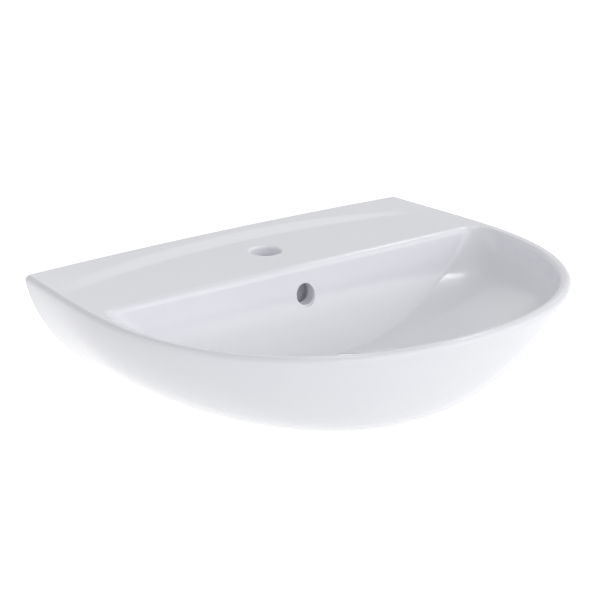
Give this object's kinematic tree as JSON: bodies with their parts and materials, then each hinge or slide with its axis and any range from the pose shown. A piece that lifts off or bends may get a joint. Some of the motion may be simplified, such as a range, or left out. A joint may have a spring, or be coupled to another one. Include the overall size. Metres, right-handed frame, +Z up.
{
  "type": "pedestal basin",
  "caption": "White ceramic washbasin with a ledge, tap hole and overflow, a push-plug waste and hanger-bolt wall fixings, to stand over a pedestal.",
  "frame": {"origin": "on the wall plane, on the centreline, at the height of the wall fixings", "axes": "+X to the right seen from the front, +Y into the wall, +Z up"},
  "size_m": [0.5509, 0.5114, 0.1597],
  "materials": {
    "glaze": "glossy white glaze",
    "chrome": "polished chrome plate",
    "rubber": "black moulded rubber",
    "brass": "turned",
    "zinc": "bright zinc plated",
    "spring_steel": "bright drawn wire",
    "nylon": "grey moulded nylon",
    "bush_plastic": "natural moulded plastic",
    "cap_plastic": "white moulded plastic",
    "washer_plastic": "translucent white plastic"
  },
  "bodies": {
    "mounted": {"basin": "glaze", "waste_body": "chrome", "waste_top_seal": "rubber", "waste_lower_seal": "rubber", "friction_washer": "washer_plastic", "back_nut": "brass", "click_housing": "brass", "click_top_nut": "brass", "click_spring": "spring_steel", "wall_plugs": "nylon", "hanger_bolts": "zinc", "shoulder_bushes": "bush_plastic", "fixing_washers": "zinc", "fixing_nuts": "zinc", "nut_caps": "cap_plastic"},
    "plug": {"plug_cap": "chrome", "plug_seal": "rubber", "plug_stem": "brass", "click_plunger": "brass"}
  },
  "joints": [
    {"name": "plug_slide", "type": "slide", "parent": "mounted", "child": "plug", "axis": [0, 0, 1], "range_m": [0, 0.01], "deforming": ["click_spring"]}
  ]
}
